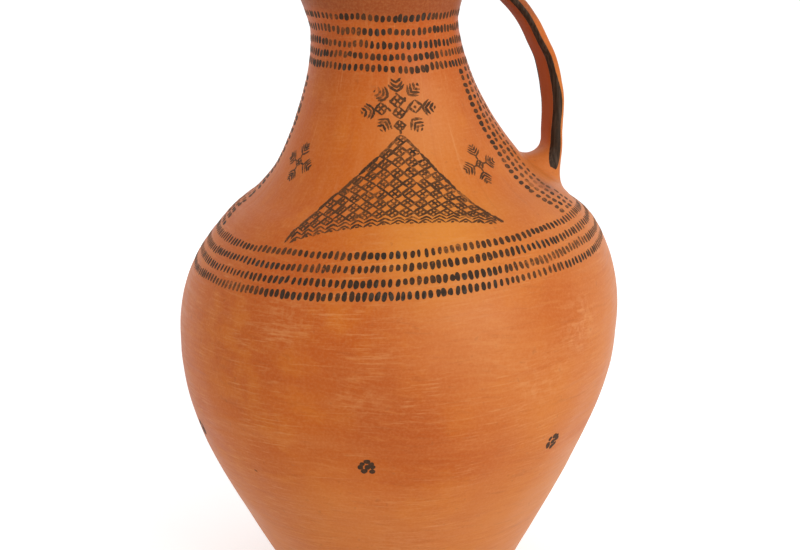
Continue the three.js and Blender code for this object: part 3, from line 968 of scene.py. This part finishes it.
# Rings of dabs round the jar. What varies is given as its slow wander and its quick change.
rings = {
    "shoulder": {"heights": (0.2737, 0.2667, 0.2592, 0.2520), "width": 2.95, "length": 5.3,
                 "spacing": 4.08, "sway": 0.35, "lean": (2.5, 8), "level": False, "sag": 0.0},
    "neck": {"heights": (0.4074, 0.3990, 0.3906, 0.3836, 0.3764), "width": 2.9, "length": 4.8,
             "spacing": 3.85, "sway": 0.35, "lean": (4, 8), "level": True, "sag": 0.9},
    "swayVaries": (1, 0.5),
    "close": 0.06, "closer": 0.78, "stray": 0.065,
    "tone": 0.68, "toneVaries": (0.12, 0.045), "leastTone": 0.2,
    "widthVaries": (0.08, 0.06), "lengthVaries": (0.05, 0.07), "leansFrom": 200,
    "sagAngle": 14.0, "sagReach": 20.0,
}


# One ring's dabs. Steps between them are uneven, and now and then two touch. A level ring is
# drawn flat in the world, so it crosses the tilt of the courses.
def ringDabs(height, style):
    circle = 2 * np.pi * radiusAt(outsideAt(height)) / mm
    steps = paintSeed.normal(1, rings["stray"], int(round(circle / style["spacing"])))
    steps[paintSeed.random(len(steps)) < rings["close"]] *= rings["closer"]
    angle = np.cumsum(steps) / steps.sum() * 360
    along = outsideAt(height) + mm * style["sway"] * varied(angle, *rings["swayVaries"])
    if style["level"]:
        sideways = radiusAt(along) * np.sin(np.radians(angle))
        facing = nearestTurn(angle - rings["sagAngle"])
        along = along - sideways * np.tan(np.radians(lean["courseTilt"]))
        along = along - style["sag"] * mm * np.exp(-(facing / rings["sagReach"]) ** 2)
    tone = np.clip(rings["tone"] + varied(angle, *rings["toneVaries"]), rings["leastTone"], 1)
    width = style["width"] * (1 + varied(angle, *rings["widthVaries"]))
    length = style["length"] * (1 + varied(angle, *rings["lengthVaries"]))
    middle, quiver = style["lean"]
    turn = middle * np.sin(np.radians(angle - rings["leansFrom"])) + middle
    turn = turn + paintSeed.normal(0, quiver / 2, len(steps))
    return np.stack([angle, along, width, length, turn, tone], axis=1)


for ringName in ("shoulder", "neck"):
    ringStyle = rings[ringName]
    dabPiece("paint_" + ringName + "_rings",
             np.concatenate([ringDabs(height, ringStyle) for height in ringStyle["heights"]]))
print("rings painted")

# Upright bands of dabs between the neck and the shoulder: four rows side by side, some
# millimetres apart. The first row is given by its angle at even steps from the top down.
bands = {
    "top": 0.3705, "bottom": 0.2765,
    "places": (((62.4, 60.9, 60.7, 59.6, 60.3, 64.2), 8.2),
               ((-78.6, -78.0, -80.2, -83.3, -81.6, -77.9), -6.5),
               ((146, 147, 147.5, 148, 147, 144), -8.2)),
    "spacing": 4.6, "wide": (5.8, 4.9, 4.5, 4.3), "high": 3.5,
    "stray": 0.08, "strayAngle": 0.35, "wideVaries": 0.08, "highVaries": 0.09, "lean": 5,
    "tone": 0.64, "rowFades": 0.05, "toneVaries": 0.08,
    "smudged": {"rows": (1, 2), "at": 0.76, "reach": 0.06, "fades": 0.5},
    "clearOfFoot": 12.0, "clearBelow": 0.03,
}


# A row's dabs lie at even steps down the wall. Two rows are smudged near their lower end, and
# the paint stays clear of the handle's foot.
def bandDabs():
    dabs, smudged = [], bands["smudged"]
    start, end = outsideAt(bands["top"]), outsideAt(bands["bottom"])
    count = int(round(abs(end - start) / mm / bands["spacing"]))
    for first, apart in bands["places"]:
        for row, rowWide in enumerate(bands["wide"]):
            t = (np.arange(count) + 0.5 + paintSeed.normal(0, bands["stray"], count)) / count
            along = start + (end - start) * t
            angle = np.interp(t, np.linspace(0, 1, len(first)), first)
            angle = angle + paintSeed.normal(0, bands["strayAngle"], count)
            angle = angle + np.degrees(apart * row * mm / radiusAt(along))
            wide = rowWide * paintSeed.normal(1, bands["wideVaries"], count)
            high = bands["high"] * paintSeed.normal(1, bands["highVaries"], count)
            tone = bands["tone"] - bands["rowFades"] * row
            tone = np.clip(tone + paintSeed.normal(0, bands["toneVaries"], count), rings["leastTone"], 1)
            if row in smudged["rows"]:
                tone = tone - smudged["fades"] * np.exp(-((t - smudged["at"]) / smudged["reach"]) ** 2)
            clear = np.abs(nearestTurn(angle - 90 - handle["angle"])) > bands["clearOfFoot"]
            clear |= along > outsideAt(handle["footHeight"] + bands["clearBelow"])
            turn = paintSeed.normal(0, bands["lean"], count)
            dabs.append(np.stack([angle, along, wide, high, turn, tone], axis=1)[clear])
    return np.concatenate(dabs)


dabPiece("paint_bands", bandDabs())

# The triangle hangs from its tip. Its sides are cut into equal cells, so a place in it is a
# number of cells down the left side plus a number down the right side. Its rows sag between.
triangle = {
    "tips": ((5.04, 0.3362), (205.0, 0.3350)),
    "left": (-84.9, -78.3), "right": (59.2, -71.8),
    "cells": 17, "latticeTo": 15, "sag": 14.4, "leftBow": 2.8, "rightBow": -3.2,
    "edgeWidth": 2.1, "lineWidth": 1.8, "crossWidth": 1.5, "reach": 3, "overrun": 0.08,
    "waveStep": 0.42, "waves": 2, "waveWidth": 1.6, "dashAt": 1.25, "dash": 2.4, "dashWidth": 1.4,
    "wave": ((1, 0), (0.3, 0.03), (0.05, 0.05), (0.03, 0.3), (0, 1)),
    "tone": (0.55, 0.09), "leastTone": 0.25,
}


# Across and up of a place in the triangle: cells down the left plus cells down the right, a
# rise of 4 a (1 - a) times the sag and the share of the way down, a being the share to the
# right, and a bow of each side that is highest, 1, two thirds of the way down
def inTriangle(down, over):
    down, over = np.asarray(down, float), np.asarray(over, float)
    total = down + over
    a = over / np.maximum(total, 0.001)
    cells = triangle["cells"]
    (leftX, leftY), (rightX, rightY) = triangle["left"], triangle["right"]
    across = (down * leftX + over * rightX) / cells
    up = (down * leftY + over * rightY + triangle["sag"] * 4 * a * (1 - a) * total) / cells
    way = np.clip(total / cells, 0, 1)
    bow = triangle["leftBow"] * (1 - a) ** 4 + triangle["rightBow"] * a ** 4
    return np.stack([across, up + bow * 27 / 4 * way * way * (1 - way)], axis=-1)


# The lattice: lines down both ways, drawn in short reaches, and a cross in every other cell
def latticeLines():
    end, reach, extra, lines = triangle["latticeTo"] + 1, triangle["reach"], triangle["overrun"], []
    for side in range(2):
        for fixed in range(end):
            last = triangle["cells"] if fixed == 0 else end - fixed
            width = triangle["edgeWidth"] if fixed == 0 else triangle["lineWidth"]
            for first in range(0, last, reach):
                run = first - extra + strokeSteps * (min(first + reach, last) - first + 2 * extra)
                run = np.maximum(run, 0)
                place = (run, fixed + 0 * run) if side == 0 else (fixed + 0 * run, run)
                lines.append((inTriangle(*place), width))
    for total in range(0, triangle["latticeTo"], 2):
        for over in range(total + 1):
            down = total - over
            lines.append((inTriangle(down + 0.5, over + strokeSteps), triangle["crossWidth"]))
            lines.append((inTriangle(down + strokeSteps, over + 0.5), triangle["crossWidth"]))
    return lines


# Under the lattice hang scales: nested waves, and a dash under the last
def scaleLines():
    lines, top = [], triangle["latticeTo"]
    for over in range(top + 1):
        down = top - over
        for wave in range(triangle["waves"]):
            d = (wave + 1) * triangle["waveStep"]
            line = evenLine(*(inTriangle(down + i + d, over + j + d) for i, j in triangle["wave"]))
            lines.append((line, triangle["waveWidth"]))
        centre = inTriangle(down + triangle["dashAt"], over + triangle["dashAt"])
        half = unit(inTriangle(down + 0.5, over + 1.5) - inTriangle(down + 1.5, over + 0.5))
        half = half * triangle["dash"] / 2
        lines.append((evenLine(centre - half, centre + half), triangle["dashWidth"]))
    return lines


# Each line as a stroke at each of some places on the jar, with a tone of its own
def strokesAt(places, lines):
    tone, least = triangle["tone"], triangle["leastTone"]
    return [(angle, outsideAt(height), line, width, np.clip(paintSeed.normal(*tone), least, 1))
            for angle, height in places for line, width in lines]


strokePiece("paint_triangle", strokesAt(triangle["tips"], latticeLines() + scaleLines()))
print("triangles painted")

# Motifs round the triangle, in millimetres from their own middles. A cross has the directions of
# its four fans. A lozenge is its middle and half its height, and a fan its tip, its direction and
# how rounded it is.
motifs = {
    "width": 1.75, "fine": 1.5,
    "gap": 2.65, "arm": 6.5, "shrink": 0.20, "opening": 51, "bend": 26,
    "dot": 1.2, "dotSwell": 1.25, "eyeDash": 0.8, "eyeWidth": 2.0,
    "trees": ((5.57, 0.3493), (205.5, 0.3482)),
    "crosses": ((-53.9, 0.3191, (77, -10, 257, 168)), (42.3, 0.3129, (88, 189, 0, 263)),
                (168.0, 0.3150, (82, -6, 262, 175)), (247.0, 0.3190, (96, 183, 4, 268))),
    "crossReach": 5.8, "crossArm": 6.6, "crossGap": 2.15, "crossBox": 2.9, "crossWidth": 1.5,
    "crossRounded": 0.2,
    "lozenges": ((0, 7.2, 4.3), (0, -0.2, 3.8), (-0.5, -8.3, 3.4), (-10.8, 3.0, 3.9)),
    "eye": (10.6, 2.8, 4.3),
    "links": (((-7.0, 3.4), (-5.0, 1.0)), ((7.0, 2.6), (4.4, -0.6)), ((-0.6, -11.6), (-0.8, -13.8)),
              ((-4.6, 8.6), (-4.2, 6.2)), ((4.9, 9.3), (4.2, 6.2)), ((0, 11.2), (0.2, 12.6))),
    "fans": ((-6.2, 10.3, 148, 0.9), (7.5, 10.7, 41, 0.2), (-15.2, 2.4, 190, 0.5), (15.2, 1.9, -9, 0.2),
             (-7.3, -3.8, 232, 0.1), (7.9, -5.6, 308, 0.2)),
    "topFan": (0.5, 13.7, 90, 0.5),
}


# Across and up of a length in a direction: its cosine and sine
def towards(degrees, length):
    return length * np.array([np.cos(np.radians(degrees)), np.sin(np.radians(degrees))])


# Nested Vs that open along a direction, each shorter than the last, with a dot at the end. A
# rounded V has its arms bent out and back from its tip.
def fanLines(x, y, direction, rounded, arm, gap, width, dot=True, count=3):
    lines, apex = [], np.array([x, y])
    for index in range(count):
        tip = apex + towards(direction, gap * index)
        length = arm * (1 - motifs["shrink"] * index)
        ends, bends = ([tip + towards(direction + side * (motifs["opening"] + wider), length * far)
                        for side in (1, -1)] for wider, far in ((0, 1), (motifs["bend"] * rounded, 0.5)))
        lines.append((evenLine(ends[0], bends[0], tip, bends[1], ends[1]), width))
    if dot:
        start, end = (apex + towards(direction, gap * count + far) for far in (0, motifs["dot"]))
        lines.append((evenLine(start, end), width * motifs["dotSwell"]))
    return lines


# A lozenge with its middle lines drawn from side to side
def lozengeLines(x, y, half, quartered=True):
    centre = np.array([x, y])
    top, right, bottom, left = (centre + towards(a, half) for a in (90, 0, 270, 180))
    lines = [(evenLine(top, side, bottom), motifs["width"]) for side in (left, right)]
    if quartered:
        lines += [(evenLine((top + start) / 2, (bottom + end) / 2), motifs["fine"])
                  for start, end in ((left, right), (right, left))]
    return lines


# Lozenges, an eye, the links between them, and fans at the ends
def treeLines():
    lines = [line for lozenge in motifs["lozenges"] for line in lozengeLines(*lozenge)]
    x, y, half = motifs["eye"]
    lines += lozengeLines(x, y, half, False)
    lines.append((evenLine((x - motifs["eyeDash"], y), (x + motifs["eyeDash"], y)), motifs["eyeWidth"]))
    lines += [(evenLine(start, end), motifs["width"]) for start, end in motifs["links"]]
    size = motifs["arm"], motifs["gap"], motifs["width"]
    for fan in motifs["fans"]:
        lines += fanLines(*fan, *size)
    return lines + fanLines(*motifs["topFan"], *size, dot=False)


# A small lozenge, and from its corners an arm with a fan in each direction
def crossLines(directions):
    lines = lozengeLines(0, 0, motifs["crossBox"])
    size = motifs["crossArm"], motifs["crossGap"], motifs["crossWidth"]
    for direction in directions:
        apex = towards(direction, motifs["crossReach"])
        lines.append((evenLine(towards(direction, motifs["crossBox"]), apex), motifs["crossWidth"]))
        lines += fanLines(*apex, direction, motifs["crossRounded"], *size, dot=False, count=4)
    return lines


motifStrokes = strokesAt(motifs["trees"], treeLines())
for *crossPlace, crossDirections in motifs["crosses"]:
    motifStrokes += strokesAt([crossPlace], crossLines(crossDirections))
strokePiece("paint_motifs", motifStrokes)

# Small flowers of dots low on the belly, about every sixth of the way round, and one stray fleck
flowers = {
    "places": ((-7.5, 0.1449), (45.0, 0.1387), (-67.0, 0.1440), (107, 0.141), (168, 0.143), (228, 0.139)),
    "petals": 8, "reach": 4.2, "dot": (3.7, 3.5), "jitter": 9, "varies": 0.1,
    "heart": (0.3, -0.3), "tone": 0.7,
    "fleck": (-41.0, 0.1313, 2.6, 1.0, 25, 0.5),
}


# Petals lie at even turns round a heart, at a reach of their own, and point away from it
def flowerDabs():
    dabs, count = [], flowers["petals"]
    for angle, height in flowers["places"]:
        direction = np.arange(count) * 360 / count + paintSeed.normal(0, flowers["jitter"], count)
        petals = towards(direction, flowers["reach"] * paintSeed.normal(1, flowers["varies"], count))
        x, y = np.column_stack([petals, flowers["heart"]])
        size = np.array(flowers["dot"])[:, None] * paintSeed.normal(1, flowers["varies"], (2, len(x)))
        place = onWall(angle, outsideAt(height), x, y)
        tone = np.full(len(x), flowers["tone"])
        dabs.append(np.stack([*place, *size, 90 - np.append(direction, 0), tone], axis=1))
    angle, height, *stray = flowers["fleck"]
    dabs.append([[angle, outsideAt(height), *stray]])
    return np.concatenate(dabs)


dabPiece("paint_flowers", flowerDabs())
print("motifs painted")

# A broad dark stripe down each edge of the strap, with a rounded end above its foot. Its width
# and its inset from the edge are in millimetres, at shares of its length.
stripes = {
    "sides": (("near", 180.0, 1), ("far", 0.0, -1)),
    "from": 9, "to": -6,
    "shares": (0, 0.05, 0.12, 0.25, 0.34, 0.43, 0.52, 0.60, 0.68, 1),
    "width": (10.4, 9.7, 8.4, 8.3, 7.6, 6.7, 5.9, 5.5, 5.2, 4.8),
    "inset": (3.6, 2.9, 2.3, 2.5, 3.3, 4.2, 4.1, 3.8, 2.8, 1.6),
    "ripple": 0.06, "ripples": 31, "endLength": 0.010, "endRound": 0.97, "fadeIn": 0.004,
    "points": 11, "tone": 0.85,
}


# A stripe follows the handle's own grid: at each row it takes the points at set distances from
# the edge, measured round the section
def handleStripe(name, turnDegrees, flip):
    cut = slice(stripes["from"], len(handleGrid) + stripes["to"])
    middle = handleGrid.shape[1] // 2
    shift = int(round(turnDegrees / 360 * handleGrid.shape[1])) - middle
    rows, normals = (np.roll(grid[cut], -shift, axis=1) for grid in (handleGrid, handleNormal))
    run = np.cumsum(np.linalg.norm(np.diff(rows, axis=1, prepend=rows[:, :1]), axis=-1), axis=1)
    run -= run[:, middle:middle + 1]
    length = runAlong(rows[:, middle])
    share = length / length[-1]
    width, inset = (np.interp(share, stripes["shares"], stripes[key]) for key in ("width", "inset"))
    closing = np.clip(length / stripes["endLength"], 0, 1)
    width = width * (1 + stripes["ripple"] * np.sin(share * stripes["ripples"] + turnDegrees))
    width = width * np.sqrt(1 - (1 - closing) ** 2 * stripes["endRound"])
    side = np.concatenate([[-1], np.linspace(-1, 1, stripes["points"]), [1]])
    lift, load = slipAcross(len(side))
    wanted = width[:, None] / 2 * mm * side - flip * inset[:, None] * mm
    points, out = (np.stack([np.stack([np.interp(w, r, part[:, i]) for w, r, part in zip(wanted, run, grid)])
                             for i in range(3)], axis=-1) for grid in (rows, normals))
    points = points + out * lift[:, None] * mm
    load = load * np.clip(length / stripes["fadeIn"], 0, 1)[:, None]
    paintMesh(name, points, out, tubeFaces(*load.shape), load, stripes["tone"])


for stripeName, stripeTurn, stripeFlip in stripes["sides"]:
    handleStripe("paint_stripe_" + stripeName, stripeTurn, stripeFlip)
print("stripes painted")

# A white world that fills the shade, a pale floor, and one key lamp at the right
studio = {
    "fill": 0.77,
    "keyPlace": (1.25, -1.45, 1.10), "keyAim": (0.0, 0.0, 0.22), "keySize": 1.1, "keyPower": 15.4,
    "floorSize": 12.0, "floorColour": (0.85, 0.85, 0.85, 1), "floorGlow": 0.46,
}


# 1 for the kinds of ray that are named and 0 for all others
def seenBy(wires, *kinds):
    seen = 0.0
    for kind in kinds:
        ray = wires.node("ShaderNodeLightPath", None, None, "Is " + kind + " Ray")
        seen = wires.math("MAXIMUM", seen, ray)
    return seen


# White for the camera and in reflections, and a soft even fill for everything else
def makeWorld():
    world = bpy.data.worlds.new("studioWorld")
    scene.world = world
    world.use_nodes = True
    world.node_tree.nodes.clear()
    wires = Wire(world.node_tree)
    strength = seenBy(wires, "Camera", "Glossy", "Transmission") * (1 - studio["fill"]) + studio["fill"]
    background = wires.node("ShaderNodeBackground", None, {"Color": (1, 1, 1, 1), "Strength": strength})
    wires.node("ShaderNodeOutputWorld", None, {"Surface": background})


# A matt square under the jar, which glows for the camera and in reflections only
def makeFloor():
    half = studio["floorSize"] / 2
    corners = np.array([(-half, -half, 0), (half, -half, 0), (half, half, 0), (-half, half, 0)])
    floor = addMesh("floor", corners, [(0, 1, 2, 3)])
    material, wires = newMaterial("paleFloor")
    glow = {"Color": (1, 1, 1, 1), "Strength": seenBy(wires, "Camera", "Glossy") * studio["floorGlow"]}
    matt = wires.node("ShaderNodeBsdfDiffuse", None, {"Color": studio["floorColour"]})
    glowing = wires.node("ShaderNodeEmission", None, glow)
    both = wires.node("ShaderNodeAddShader", None, {0: matt, 1: glowing})
    wires.node("ShaderNodeOutputMaterial", None, {"Surface": both})
    floor.data.materials.append(material)


# One round lamp, turned so that it looks from its place to its aim
def makeLight():
    data = bpy.data.lights.new("keyLight", "AREA")
    data.shape = "DISK"
    data.size = studio["keySize"]
    data.energy = studio["keyPower"]
    light = bpy.data.objects.new("keyLight", data)
    light.location = studio["keyPlace"]
    aim = light.location.copy()
    aim.xyz = studio["keyAim"]
    light.rotation_euler = (aim - light.location).to_track_quat("-Z", "Y").to_euler()
    scene.collection.objects.link(light)


makeWorld()
makeFloor()
makeLight()
print("studio ready")
